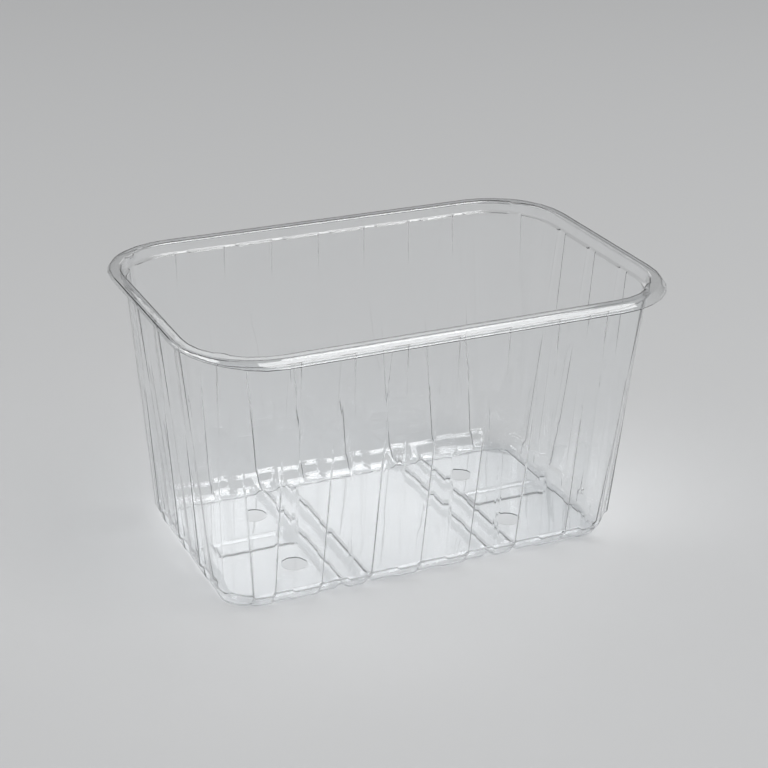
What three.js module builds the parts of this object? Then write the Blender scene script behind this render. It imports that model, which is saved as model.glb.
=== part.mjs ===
// A clear fruit punnet, thermoformed from one sheet of PET: a rolled rim with a flat sealing flange,
// four fluted walls that lean in towards the base, a stepped heel on a foot ring, and a raised floor
// with cross channels, two shallow recesses and four drain holes.
// The real punnet is one skin without a joint. It is modelled as its formed regions, which meet
// face to face, so that each region is a solid of its own with the real wall and the real hollow.
// Millimetres, +Z up, +X along the long sides, origin on the ground under the middle of the base.

import * as THREE from 'three';

// Rim, over the trimmed edge of the skirt
const RIM_LENGTH = 191;
const RIM_WIDTH = 128;
const RIM_CORNER_RADIUS = 31.9;
const HEIGHT = 104;
const SHEET = 0.4;
const SKIRT_OUT = 2.1;
const SKIRT_DROP = 2.8;
const FLANGE_WIDTH = 4.1;
const FOLD_ROUND = 0.6;
const INNER_ROUND = 0.9;

// Neck, and the ledge that the walls hang from
const NECK_DEPTH = 4;
const NECK_LEAN = 0.3;
const NECK_SEAM_DEPTH = 2.6;
const WALL_LEDGE = 1.5;
const WALL_LEDGE_FALL = 0.5;
const LUG_REACH = 1.3;

// Walls and their flutes. A flute stands a little outside the panels at the top, leans in more
// than they do, and stands inside them at the base, where it is widest. Drafts are in degrees.
const END_DRAFT_ANGLE = 4.65;
const SIDE_DRAFT_ANGLE = 5.2;
const SIDE_FLUTE_PITCH = 19.6;
const END_FLUTE_PITCH = 22.9;
const FLUTE_TOP_WIDTH = 6;
const FLUTE_BASE_WIDTH = 12.3;
const FLUTE_FLANK = 1;
const FLUTE_TOP_OUT = 0.8;
const END_FLUTE_BASE_IN = 1.2;
const SIDE_FLUTE_BASE_IN = 1.8;
const FLUTE_END_GAP = 0.5;

// Heel: a small ledge, a band down to the foot, and the round of the foot
const HEEL_HEIGHT = 6.2;
const HEEL_SEAM_RISE = 1.2;
const HEEL_LEDGE = 1.4;
const HEEL_LEDGE_FALL = 0.25;
const END_BAND_LEAN = 0.6;
const SIDE_BAND_LEAN = 2;
const FOOT_ROUND_RISE = 1.4;
const END_FOOT_ROUND = 0.9;
const SIDE_FOOT_ROUND = 3.1;
const END_BAND_FLUTE_IN = 0.5;
const SIDE_BAND_FLUTE_IN = 1.5;

// Foot ring, and the floor raised inside it
const RING_WIDTH = 2.9;
const FLOOR_RISE = 1.2;
const FLOOR_STEP_RUN = 0.8;

// Cross channels of the floor, in two pairs with a foot strip between, and the end bays' recesses
const CENTRE_PAD = 44.2;
const FOOT_STRIP = 4.9;
const CHANNEL_TOP = 1.6;
const CHANNEL_RUN = 1.9;
const CHANNEL_RISE = 1.2;
const RING_NOTCH = 1.3;
const RECESS_WIDTH = 10;
const RECESS_DEPTH = 0.8;
const RECESS_RUN = 0.8;
const RECESS_FROM_CHANNEL = 1.2;
const RECESS_FROM_EDGE = 4.3;
const DRAIN_DIAMETER = 10;
const DRAIN_FROM_CHANNEL = 6.9;
const DRAIN_FROM_MIDDLE = 20.5;

// Steps of a corner between its seam and its flute, and round a drain hole
const CORNER_STEPS = 3;
const DRAIN_STEPS = 24;

// Places along the outline that are nearer to each other than this are one
const SAME_PLACE = 1e-6;

const CLEAR_PET = { color: 0xe6ecf0, roughness: 0.08, metalness: 0, transparent: true, opacity: 0.45 };

// The inner edge of the flange is the outline that every other line is offset from.
const EDGE_RADIUS = RIM_CORNER_RADIUS - SKIRT_OUT - FLANGE_WIDTH;
const CORNER_X = RIM_LENGTH / 2 - RIM_CORNER_RADIUS;
const CORNER_Y = RIM_WIDTH / 2 - RIM_CORNER_RADIUS;
const PANEL_TOP_OFFSET = NECK_LEAN + WALL_LEDGE;
const PANEL_TOP_Z = HEIGHT - NECK_DEPTH - WALL_LEDGE_FALL;
const HEEL_SEAM_Z = HEEL_HEIGHT + HEEL_SEAM_RISE;

function panelOffset(draft, z) {
  return PANEL_TOP_OFFSET + (PANEL_TOP_Z - z) * Math.tan(THREE.MathUtils.degToRad(draft));
}

// How far the floor's edge lies inside the foot of the wall, at the ends and at the long sides
const FOOT_INSET = HEEL_LEDGE + RING_WIDTH + FLOOR_STEP_RUN;
const END_FOOT_INSET = FOOT_INSET + END_BAND_LEAN + END_FOOT_ROUND;
const SIDE_FOOT_INSET = FOOT_INSET + SIDE_BAND_LEAN + SIDE_FOOT_ROUND;
const END_FLOOR_OFFSET = panelOffset(END_DRAFT_ANGLE, HEEL_HEIGHT) + END_FOOT_INSET;
const SIDE_FLOOR_OFFSET = panelOffset(SIDE_DRAFT_ANGLE, HEEL_HEIGHT) + SIDE_FOOT_INSET;
const FLOOR_X = CORNER_X + EDGE_RADIUS - END_FLOOR_OFFSET;
const FLOOR_Y = CORNER_Y + EDGE_RADIUS - SIDE_FLOOR_OFFSET;

const CHANNEL_WIDTH = CHANNEL_TOP + 2 * CHANNEL_RUN;
const STRIP_START = CENTRE_PAD / 2 + CHANNEL_WIDTH;
const CHANNEL_END = STRIP_START + FOOT_STRIP + CHANNEL_WIDTH;

// A raised or sunken profile from its start: where each bend lies, its height as a share of the rise,
// and the shift of the underside there, which keeps the sheet's thickness on the slopes.
function stepProfile(start, width, run, rise) {
  const shift = SHEET * Math.tan(Math.atan2(rise, run) / 2);
  return [
    { along: start, rise: 0, shift: 0 },
    { along: start + run, rise: 1, shift },
    { along: start + width - run, rise: 1, shift: -shift },
    { along: start + width, rise: 0, shift: 0 },
  ];
}

const CHANNEL_PROFILE = [
  ...stepProfile(CENTRE_PAD / 2, CHANNEL_WIDTH, CHANNEL_RUN, CHANNEL_RISE),
  ...stepProfile(STRIP_START + FOOT_STRIP, CHANNEL_WIDTH, CHANNEL_RUN, CHANNEL_RISE),
];
const RECESS_PROFILE = stepProfile(-RECESS_WIDTH / 2, RECESS_WIDTH, RECESS_RUN, -RECESS_DEPTH);

const mix = (a, b, t) => a + (b - a) * t;

// The upper skin of the sheet in section, from the skirt's trimmed edge in to the floor. Each point
// is an inset from the flange's inner edge, at the ends and at the long sides, and a height.
// flute, lug and channel say how much of each feature this place has, from 0 to 1.
function sectionPoints({ flute = 0, lug = 0, channel = 0 }) {
  const skirtLength = Math.hypot(SKIRT_OUT, SKIRT_DROP);
  const foldOut = FLANGE_WIDTH + (FOLD_ROUND * SKIRT_OUT) / skirtLength;
  const foldZ = HEIGHT - (FOLD_ROUND * SKIRT_DROP) / skirtLength;
  const lugIn = LUG_REACH * lug;
  const neckSeamLean = (NECK_LEAN * NECK_SEAM_DEPTH) / NECK_DEPTH;
  const ringZ = SHEET + RING_NOTCH * channel;
  const even = (inset, z) => ({ end: inset, side: inset, z });
  const fluteIn = (z, baseIn) => {
    const share = (PANEL_TOP_Z - z) / (PANEL_TOP_Z - HEEL_HEIGHT);
    return flute * mix(-FLUTE_TOP_OUT, baseIn, share);
  };
  const wall = (z) => ({
    end: panelOffset(END_DRAFT_ANGLE, z) + fluteIn(z, END_FLUTE_BASE_IN),
    side: panelOffset(SIDE_DRAFT_ANGLE, z) + fluteIn(z, SIDE_FLUTE_BASE_IN),
    z,
  });
  const heel = (end, side, z) => ({
    end: panelOffset(END_DRAFT_ANGLE, HEEL_HEIGHT) + end,
    side: panelOffset(SIDE_DRAFT_ANGLE, HEEL_HEIGHT) + side,
    z,
  });
  const ledgeZ = HEEL_HEIGHT - HEEL_LEDGE_FALL;
  const endFlute = END_FLUTE_BASE_IN * flute;
  const sideFlute = SIDE_FLUTE_BASE_IN * flute;
  const endBand = HEEL_LEDGE + END_BAND_LEAN;
  const sideBand = HEEL_LEDGE + SIDE_BAND_LEAN;
  const endBandFlute = END_BAND_FLUTE_IN * flute;
  const sideBandFlute = SIDE_BAND_FLUTE_IN * flute;
  return [
    even(-FLANGE_WIDTH - SKIRT_OUT, HEIGHT - SKIRT_DROP),
    even(-foldOut, foldZ),
    even(FOLD_ROUND - FLANGE_WIDTH, HEIGHT),
    even(lugIn - INNER_ROUND, HEIGHT),
    even(lugIn, HEIGHT - INNER_ROUND),
    even(neckSeamLean, HEIGHT - NECK_SEAM_DEPTH),
    even(NECK_LEAN, HEIGHT - NECK_DEPTH),
    wall(PANEL_TOP_Z),
    wall(HEEL_SEAM_Z),
    wall(HEEL_HEIGHT),
    heel(HEEL_LEDGE + endFlute, HEEL_LEDGE + sideFlute, ledgeZ),
    heel(endBand + endBandFlute, sideBand + sideBandFlute, ringZ + FOOT_ROUND_RISE),
    heel(endBand + END_FOOT_ROUND, sideBand + SIDE_FOOT_ROUND, ringZ),
    { end: END_FLOOR_OFFSET - FLOOR_STEP_RUN, side: SIDE_FLOOR_OFFSET - FLOOR_STEP_RUN, z: ringZ },
    { end: END_FLOOR_OFFSET, side: SIDE_FLOOR_OFFSET, z: SHEET + FLOOR_RISE + CHANNEL_RISE * channel },
  ];
}

// Rows of the section where one region ends and the next begins, and the first row of the heel
// that the channels notch
const SKIRT_ROW = 0;
const NECK_SEAM_ROW = 5;
const HEEL_SEAM_ROW = 8;
const NOTCHED_ROW = 11;
const FLOOR_ROW = 14;

// The lower skin, one sheet away from the upper one, with mitred corners
function lowerSkin(points, inset) {
  return points.map((point, row) => {
    const before = points[Math.max(row - 1, 0)];
    const after = points[Math.min(row + 1, points.length - 1)];
    const normal = (a, b) => {
      const run = b[inset] - a[inset];
      const rise = b.z - a.z;
      const length = Math.hypot(run, rise);
      return { run: rise / length, rise: -run / length };
    };
    const into = row === 0 ? normal(point, after) : normal(before, point);
    const out = row === points.length - 1 ? into : normal(point, after);
    if (row === points.length - 1) return { run: point[inset], z: point.z - SHEET };
    const spread = SHEET / (1 + into.run * out.run + into.rise * out.rise);
    return {
      run: point[inset] + (into.run + out.run) * spread,
      z: point.z + (into.rise + out.rise) * spread,
    };
  });
}

// A station is a place on the outline: a spine point and the direction outwards from it. spot gives
// them for a place between the ledge, at 0, and the heel, at 1, because the flutes widen downwards,
// and on request for the underside of a slope along the outline.
function stationColumn(station) {
  const upper = sectionPoints(station);
  const endLower = lowerSkin(upper, 'end');
  const sideLower = lowerSkin(upper, 'side');
  const place = (spot, end, side, z) => new THREE.Vector3(
    spot.x + spot.outX * (EDGE_RADIUS - end),
    spot.y + spot.outY * (EDGE_RADIUS - side),
    z,
  );
  const column = { upper: [], lower: [] };
  upper.forEach((point, row) => {
    const spot = station.spot(row < HEEL_SEAM_ROW ? 0 : 1, false);
    const under = station.spot(row < HEEL_SEAM_ROW ? 0 : 1, row >= NOTCHED_ROW);
    const z = mix(sideLower[row].z, endLower[row].z, spot.outX ** 2);
    column.upper.push(place(spot, point.end, point.side, point.z));
    column.lower.push(place(under, endLower[row].run, sideLower[row].run, z));
  });
  return column;
}

// A closed skin between an upper and a lower grid of points. The first index runs along the outline,
// anticlockwise from above, and the second runs inwards.
function sheetGeometry(upper, lower) {
  const columns = upper.length;
  const rows = upper[0].length;
  const positions = [...upper.flat(), ...lower.flat()].flatMap((point) => point.toArray());
  const top = (column, row) => column * rows + row;
  const under = (column, row) => columns * rows + column * rows + row;
  const index = [];
  const quad = (a, b, c, d) => index.push(a, b, c, a, c, d);
  for (let i = 0; i + 1 < columns; i += 1) {
    for (let k = 0; k + 1 < rows; k += 1) {
      quad(top(i, k), top(i + 1, k), top(i + 1, k + 1), top(i, k + 1));
      index.push(under(i, k), under(i + 1, k + 1), under(i + 1, k));
      index.push(under(i, k), under(i, k + 1), under(i + 1, k + 1));
    }
  }
  const last = { column: columns - 1, row: rows - 1 };
  for (let k = 0; k + 1 < rows; k += 1) {
    quad(top(0, k), top(0, k + 1), under(0, k + 1), under(0, k));
    quad(top(last.column, k), under(last.column, k), under(last.column, k + 1), top(last.column, k + 1));
  }
  for (let i = 0; i + 1 < columns; i += 1) {
    quad(top(i, 0), under(i, 0), under(i + 1, 0), top(i + 1, 0));
    quad(top(i, last.row), top(i + 1, last.row), under(i + 1, last.row), under(i, last.row));
  }
  const geometry = new THREE.BufferGeometry();
  geometry.setAttribute('position', new THREE.Float32BufferAttribute(positions, 3));
  geometry.setIndex(index);
  geometry.computeVertexNormals();
  return geometry;
}

function bandGeometry(stations, firstRow, lastRow) {
  const columns = stations.map(stationColumn);
  const slice = (skin) => columns.map((column) => column[skin].slice(firstRow, lastRow + 1));
  return sheetGeometry(slice('upper'), slice('lower'));
}

// The flutes of a straight wall, spread from its middle as far as the straight part allows
function fluteCentres(wall) {
  const pairs = Math.floor((wall.half - FLUTE_TOP_WIDTH / 2 - FLUTE_END_GAP) / wall.pitch);
  return Array.from({ length: 2 * pairs + 1 }, (_, i) => (i - pairs) * wall.pitch);
}

// Half the width of a flute. The last ones can only widen as far as the straight part of the wall.
function fluteHalf(wall, centre, share) {
  const half = mix(FLUTE_TOP_WIDTH, FLUTE_BASE_WIDTH, share) / 2;
  return Math.min(half, wall.half - FLUTE_END_GAP - Math.abs(centre));
}

const FLUTE_EDGES = [
  { side: -1, inset: 0, flute: 0 },
  { side: -1, inset: FLUTE_FLANK, flute: 1 },
  { side: 1, inset: FLUTE_FLANK, flute: 1 },
  { side: 1, inset: 0, flute: 0 },
];

// The four straight walls: where along the wall a place lies gives its spine point.
const WALLS = {
  front: { half: CORNER_X, pitch: SIDE_FLUTE_PITCH, long: true, turn: -1 },
  right: { half: CORNER_Y, pitch: END_FLUTE_PITCH, long: false, turn: 1 },
  back: { half: CORNER_X, pitch: SIDE_FLUTE_PITCH, long: true, turn: 1 },
  left: { half: CORNER_Y, pitch: END_FLUTE_PITCH, long: false, turn: -1 },
};

// along runs anticlockwise round the outline, seen from above
function wallSpot(wall, along) {
  if (wall.long) return { x: -wall.turn * along, y: wall.turn * CORNER_Y, outX: 0, outY: wall.turn };
  return { x: wall.turn * CORNER_X, y: wall.turn * along, outX: wall.turn, outY: 0 };
}

function fixedStation(wall, along, features = {}, underShift = 0) {
  return { ...features, spot: (share, shifted) => wallSpot(wall, along + (shifted ? underShift : 0)) };
}

function rimStations(wall) {
  return [fixedStation(wall, -wall.half), fixedStation(wall, wall.half)];
}

function wallStations(wall) {
  const flutes = fluteCentres(wall).flatMap((centre) => FLUTE_EDGES.map((edge) => ({
    flute: edge.flute,
    spot: (share) => {
      const half = fluteHalf(wall, centre, share) - edge.inset;
      return wallSpot(wall, centre + edge.side * half);
    },
  })));
  return [fixedStation(wall, -wall.half), ...flutes, fixedStation(wall, wall.half)];
}

// How much of a flute there is at a place along the heel
function fluteShare(wall, along) {
  const reach = (centre) => (fluteHalf(wall, centre, 1) - Math.abs(along - centre)) / FLUTE_FLANK;
  return Math.max(...fluteCentres(wall).map((centre) => THREE.MathUtils.clamp(reach(centre), 0, 1)));
}

// The rise and the shift of a profile at a place along it
function profileAt(profile, along) {
  if (along <= profile[0].along || along >= profile.at(-1).along) return { rise: 0, shift: 0 };
  const next = profile.findIndex((point) => point.along > along);
  const from = profile[next - 1];
  const to = profile[next];
  const share = (along - from.along) / (to.along - from.along);
  return { rise: mix(from.rise, to.rise, share), shift: mix(from.shift, to.shift, share) };
}

// The heel follows the flutes above it and, at the long sides, the channels of the floor inside it.
function heelStations(wall) {
  const flutePlaces = fluteCentres(wall).flatMap((centre) => (
    FLUTE_EDGES.map((edge) => centre + edge.side * (fluteHalf(wall, centre, 1) - edge.inset))
  ));
  const channels = wall.long ? CHANNEL_PROFILE : [];
  const channelPlaces = channels.flatMap((point) => [-point.along, point.along]);
  const places = [-wall.half, wall.half, ...flutePlaces, ...channelPlaces].sort((a, b) => a - b);
  return places.filter((place, i) => i === 0 || place - places[i - 1] > SAME_PLACE).map((along) => {
    const { rise, shift } = wall.long ? profileAt(channels, Math.abs(along)) : { rise: 0, shift: 0 };
    const features = { flute: fluteShare(wall, along), channel: rise };
    return fixedStation(wall, along, features, Math.sign(along) * shift);
  });
}

// The four corners, each a quarter of an ellipse about a fixed centre, with one flute in its middle
const CORNERS = {
  front_right: { x: 1, y: -1, start: -90 },
  back_right: { x: 1, y: 1, start: 0 },
  back_left: { x: -1, y: 1, start: 90 },
  front_left: { x: -1, y: -1, start: 180 },
};

function cornerRadius(share) {
  const inset = (panelOffset(END_DRAFT_ANGLE, HEEL_SEAM_Z) + panelOffset(SIDE_DRAFT_ANGLE, HEEL_SEAM_Z)) / 2;
  return EDGE_RADIUS - mix(PANEL_TOP_OFFSET, inset, share);
}

function cornerStations(corner) {
  const middle = 45;
  const fluteAngle = (share, inset) => {
    const half = mix(FLUTE_TOP_WIDTH, FLUTE_BASE_WIDTH, share) / 2 - inset;
    return THREE.MathUtils.radToDeg(half / cornerRadius(share));
  };
  const steps = Array.from({ length: CORNER_STEPS + 1 }, (_, i) => i / CORNER_STEPS);
  const angles = [
    ...steps.map((step) => ({ flute: 0, angle: (share) => (middle - fluteAngle(share, 0)) * step })),
    { flute: 1, angle: (share) => middle - fluteAngle(share, FLUTE_FLANK) },
    { flute: 1, angle: (share) => middle + fluteAngle(share, FLUTE_FLANK) },
    ...steps.toReversed().map((step) => (
      { flute: 0, angle: (share) => 2 * middle - (middle - fluteAngle(share, 0)) * step }
    )),
  ];
  return angles.map(({ flute, angle }, i) => ({
    flute,
    lug: flute,
    spot: (share) => {
      const turn = THREE.MathUtils.degToRad(corner.start + angle(share));
      const edge = i === 0 || i === angles.length - 1;
      const snap = (value) => (edge ? Math.round(value) : value);
      return {
        x: corner.x * CORNER_X,
        y: corner.y * CORNER_Y,
        outX: snap(Math.cos(turn)),
        outY: snap(Math.sin(turn)),
      };
    },
  }));
}

// A corner of the rim keeps the ledge's angles all the way up, and one of the heel keeps the base's.
function heldAt(share, stations) {
  return stations.map((station) => ({ ...station, spot: () => station.spot(share) }));
}

// A flat plate of the floor over an outline in plan, with an optional round hole
function plateGeometry(outline, hole) {
  const shape = new THREE.Shape(outline);
  if (hole) {
    const path = new THREE.Path();
    path.absarc(hole.x, hole.y, DRAIN_DIAMETER / 2, 0, 2 * Math.PI, true);
    shape.holes.push(new THREE.Path(path.getSpacedPoints(DRAIN_STEPS).slice(0, -1)));
  }
  return new THREE.ExtrudeGeometry(shape, { depth: SHEET, bevelEnabled: false }).translate(0, 0, FLOOR_RISE);
}

function centrePad() {
  const corners = [[-1, -1], [1, -1], [1, 1], [-1, 1]];
  return plateGeometry(corners.map(([x, y]) => new THREE.Vector2((x * CENTRE_PAD) / 2, y * FLOOR_Y)));
}

// A pair of cross channels with the foot strip between them
function channelPair(sign) {
  const profile = sign > 0 ? CHANNEL_PROFILE : CHANNEL_PROFILE.toReversed();
  const lines = (under) => profile.map((point) => {
    const x = sign * (point.along + (under ? point.shift : 0));
    const z = FLOOR_RISE + CHANNEL_RISE * point.rise + (under ? 0 : SHEET);
    return [-FLOOR_Y, FLOOR_Y].map((y) => new THREE.Vector3(x, y, z));
  });
  return sheetGeometry(lines(false), lines(true));
}

// The shallow recess in the middle of an end bay, with a bare strip of floor at both of its ends
function bayRecess(sign) {
  const places = [
    { x: CHANNEL_END, depth: 0 },
    { x: CHANNEL_END + RECESS_FROM_CHANNEL, depth: 0 },
    { x: CHANNEL_END + RECESS_FROM_CHANNEL + RECESS_RUN, depth: RECESS_DEPTH },
    { x: FLOOR_X - RECESS_FROM_EDGE - RECESS_RUN, depth: RECESS_DEPTH },
    { x: FLOOR_X - RECESS_FROM_EDGE, depth: 0 },
    { x: FLOOR_X, depth: 0 },
  ];
  const ordered = sign > 0 ? places : places.toReversed();
  const grid = (under) => ordered.map((place) => RECESS_PROFILE.map((point) => {
    const z = FLOOR_RISE - place.depth * point.rise + (under ? 0 : SHEET);
    return new THREE.Vector3(sign * place.x, point.along + (under ? point.shift : 0), z);
  }));
  return sheetGeometry(grid(false), grid(true));
}

// The flat plate with the drain hole in one corner of the floor
function drainPlate(corner) {
  const arc = heldAt(1, cornerStations(corner)).map((station) => {
    const point = stationColumn(station).upper[FLOOR_ROW];
    return new THREE.Vector2(point.x, point.y);
  });
  const besideRecess = (x) => new THREE.Vector2(corner.x * x, (corner.y * RECESS_WIDTH) / 2);
  const atSide = new THREE.Vector2(corner.x * CHANNEL_END, corner.y * FLOOR_Y);
  const forward = corner.x * corner.y > 0;
  const rest = forward
    ? [atSide, besideRecess(CHANNEL_END), besideRecess(FLOOR_X)]
    : [besideRecess(FLOOR_X), besideRecess(CHANNEL_END), atSide];
  const hole = new THREE.Vector2(
    corner.x * (CHANNEL_END + DRAIN_FROM_CHANNEL),
    corner.y * DRAIN_FROM_MIDDLE,
  );
  return plateGeometry([...arc, ...rest], hole);
}

const punnet = new THREE.Group();

function add(name, geometry) {
  const mesh = new THREE.Mesh(geometry, new THREE.MeshStandardMaterial(CLEAR_PET));
  mesh.name = name;
  punnet.add(mesh);
}

Object.entries(WALLS).forEach(([name, wall]) => {
  add(`rim_${name}`, bandGeometry(rimStations(wall), SKIRT_ROW, NECK_SEAM_ROW));
  add(`wall_${name}`, bandGeometry(wallStations(wall), NECK_SEAM_ROW, HEEL_SEAM_ROW));
  add(`heel_${name}`, bandGeometry(heelStations(wall), HEEL_SEAM_ROW, FLOOR_ROW));
});

Object.entries(CORNERS).forEach(([name, corner]) => {
  const stations = cornerStations(corner);
  add(`rim_corner_${name}`, bandGeometry(heldAt(0, stations), SKIRT_ROW, NECK_SEAM_ROW));
  add(`wall_corner_${name}`, bandGeometry(stations, NECK_SEAM_ROW, HEEL_SEAM_ROW));
  add(`heel_corner_${name}`, bandGeometry(heldAt(1, stations), HEEL_SEAM_ROW, FLOOR_ROW));
  add(`floor_drain_${name}`, drainPlate(corner));
});

add('floor_centre', centrePad());
add('floor_channels_right', channelPair(1));
add('floor_channels_left', channelPair(-1));
add('floor_recess_right', bayRecess(1));
add('floor_recess_left', bayRecess(-1));

export default punnet;
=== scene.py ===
"""The looks of a clear fruit punnet, drawn from one sheet of PET over a fluted mould.

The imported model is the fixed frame. One continuous sheet with soft folds stands for all of its nodes.
Sizes are in millimetres and become metres when a mesh is written.
"""

import logging
import math
from dataclasses import dataclass, field
from enum import Enum, auto
from functools import partialmethod

import bpy
import numpy as np
from mathutils import Matrix, Vector
from mathutils.geometry import delaunay_2d_cdt


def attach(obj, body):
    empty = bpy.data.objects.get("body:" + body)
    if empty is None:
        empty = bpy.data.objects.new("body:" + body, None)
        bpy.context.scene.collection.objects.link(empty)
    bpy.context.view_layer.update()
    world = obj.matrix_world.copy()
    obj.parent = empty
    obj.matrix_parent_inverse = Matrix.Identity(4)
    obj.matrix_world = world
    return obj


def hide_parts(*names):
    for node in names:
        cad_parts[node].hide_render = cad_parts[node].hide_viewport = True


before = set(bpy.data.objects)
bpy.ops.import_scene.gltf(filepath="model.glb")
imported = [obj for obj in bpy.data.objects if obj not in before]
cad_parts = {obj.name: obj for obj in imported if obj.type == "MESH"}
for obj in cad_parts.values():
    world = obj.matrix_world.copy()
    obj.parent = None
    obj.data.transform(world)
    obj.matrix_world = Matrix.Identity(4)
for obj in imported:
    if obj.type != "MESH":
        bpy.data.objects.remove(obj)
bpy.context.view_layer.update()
MM = 0.001
PLACE_DECIMALS = 4
SAME_POINT = 1e-6
WAVE_SEED = 3.0
LIGHT_BOUNCES = 24
CLEAR_BOUNCES = 32
LOG = logging.getLogger("punnet")
Measure = float | np.ndarray
Colour = tuple[float, float, float, float]


def added(name: str, data: bpy.types.ID) -> bpy.types.Object:
    """Adds an object to the scene.

    Args:
        name: Its name.
        data: Its mesh, lamp or lens.

    Returns:
        The object.
    """
    thing = bpy.data.objects.new(name, data)
    bpy.context.scene.collection.objects.link(thing)
    return thing


# Node trees as Python expressions


class Value:
    """A socket of a node tree that takes part in Python arithmetic."""

    def __init__(self, tree: "Tree", socket: bpy.types.NodeSocket) -> None:
        """Wraps one output socket of a tree."""
        self.tree = tree
        self.socket = socket

    def maths(self, operation: str, other: "Value | float") -> "Value":
        """Returns what one Math node makes of this socket and another one or a number."""
        return self.tree.node("ShaderNodeMath", {0: self, 1: other}, {"operation": operation})

    __add__ = partialmethod(maths, "ADD")
    __sub__ = partialmethod(maths, "SUBTRACT")
    __mul__ = partialmethod(maths, "MULTIPLY")
    __truediv__ = partialmethod(maths, "DIVIDE")


class Tree:
    """A shader or geometry node tree under construction."""

    def __init__(self, tree: bpy.types.NodeTree) -> None:
        """Starts on a tree, whose nodes are removed."""
        self.tree = tree
        tree.nodes.clear()

    def node(
        self,
        kind: str,
        inputs: dict[str | int, object] | None = None,
        settings: dict[str, object] | None = None,
        output: str | int = 0,
    ) -> Value:
        """Adds any node.

        Args:
            kind: The node's type.
            inputs: Values, or links, by socket name or number.
            settings: Its properties, set before its sockets.
            output: The output socket to return.

        Returns:
            The wrapped output, or one that holds only the tree where the node has none.
        """
        node = self.tree.nodes.new(kind)
        for name, value in (settings or {}).items():
            setattr(node, name, value)
        for key, value in (inputs or {}).items():
            if isinstance(value, Value):
                self.tree.links.new(value.socket, node.inputs[key])
            else:
                node.inputs[key].default_value = value
        return Value(self, node.outputs[output] if len(node.outputs) else None)

    def attribute(self, name: str, kind: str = "FLOAT") -> Value:
        """Returns a named attribute of the mesh in a geometry tree."""
        return self.node("GeometryNodeInputNamedAttribute", {"Name": name}, {"data_type": kind})

    def scaled(self, direction: Value, length: Value | float) -> Value:
        """Returns a vector times a number."""
        return self.node("ShaderNodeVectorMath", {0: direction, "Scale": length}, {"operation": "SCALE"})

    def along(self, place: Value, direction: tuple[float, float, float]) -> Value:
        """Returns how far a place lies along a direction."""
        inputs = {0: place, 1: direction}
        return self.node("ShaderNodeVectorMath", inputs, {"operation": "DOT_PRODUCT"}, "Value")


class FormingTree(Tree):
    """A geometry tree that moves the points of the sheet, with named inputs for its sizes."""

    def __init__(self, name: str, sizes: dict[str, float]) -> None:
        """Makes the tree and its inputs.

        Args:
            name: The tree's name.
            sizes: The names of the inputs and their values.
        """
        super().__init__(bpy.data.node_groups.new(name, "GeometryNodeTree"))
        interface = self.tree.interface
        interface.new_socket(name="Geometry", in_out="INPUT", socket_type="NodeSocketGeometry")
        interface.new_socket(name="Geometry", in_out="OUTPUT", socket_type="NodeSocketGeometry")
        self.sizes = sizes
        for size in sizes:
            interface.new_socket(name=size, in_out="INPUT", socket_type="NodeSocketFloat")
        group = self.tree.nodes.new("NodeGroupInput")
        self.entry = {socket.name: Value(self, socket) for socket in group.outputs if socket.name}

    def finish(self, offset: Value, material: bpy.types.Material) -> None:
        """Moves the points and ends the tree in Realize Instances and Set Material.

        Args:
            offset: How far and in which direction each point moves.
            material: The material that the sheet gets.
        """
        inputs = {"Geometry": self.entry["Geometry"], "Offset": offset}
        moved = self.node("GeometryNodeSetPosition", inputs)
        real = self.node("GeometryNodeRealizeInstances", {0: moved})
        dressed = self.node("GeometryNodeSetMaterial", {"Geometry": real, "Material": material})
        self.node("NodeGroupOutput", {0: dressed})

    def put_on(self, piece: bpy.types.Object) -> None:
        """Adds the tree to an object as a modifier.

        Args:
            piece: The object.
        """
        modifier = piece.modifiers.new(self.tree.name, "NODES")
        modifier.node_group = self.tree
        for item in self.tree.interface.items_tree:
            if item.in_out == "INPUT" and item.name in self.sizes:
                modifier[item.identifier] = self.sizes[item.name]


# The sheet's form


class Fold(Enum):
    """The folds of the section, from the trimmed edge of the skirt in to the floor."""

    TRIM = auto()
    SKIRT_LIP = auto()
    SKIRT_BEND = auto()
    RIM_FOLD = auto()
    INNER_EDGE = auto()
    NECK_FOOT = auto()
    WALL_TOP = auto()
    WALL_FOOT = auto()
    HEEL_EDGE = auto()
    BAND_FOOT = auto()
    RING_OUTER = auto()
    RING_INNER = auto()
    FLOOR_EDGE = auto()
    FLOOR_START = auto()


@dataclass(frozen=True)
class FoldPoint:
    """One fold of the section.

    Attributes:
        end: Inset from the flange's inner edge at the ends of the punnet.
        side: The same at the long sides.
        z: Height of the upper skin.
        flute_end: How far a flute is pressed in here at the ends, or out where it is below 0.
        flute_side: The same at the long sides.
        spread: 0 where the flutes have their width at the top, 1 where they have that at the base.
        channel: How far a channel of the floor raises this fold.
        cut: How far from the fold its rounding starts.
        steps: Steps of the rounding.
        rows: Steps of the plain stretch that follows the fold.
    """

    end: float
    side: float
    z: float
    flute_end: float = 0.0
    flute_side: float = 0.0
    spread: float = 0.0
    channel: float = 0.0
    cut: float = 0.5
    steps: int = 4
    rows: int = 1

    def numbers(self) -> np.ndarray:
        """Returns the fold's measures as one row of numbers."""
        flutes = (self.flute_end, self.flute_side)
        return np.array([self.end, self.side, self.z, *flutes, self.spread, self.channel])


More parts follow.
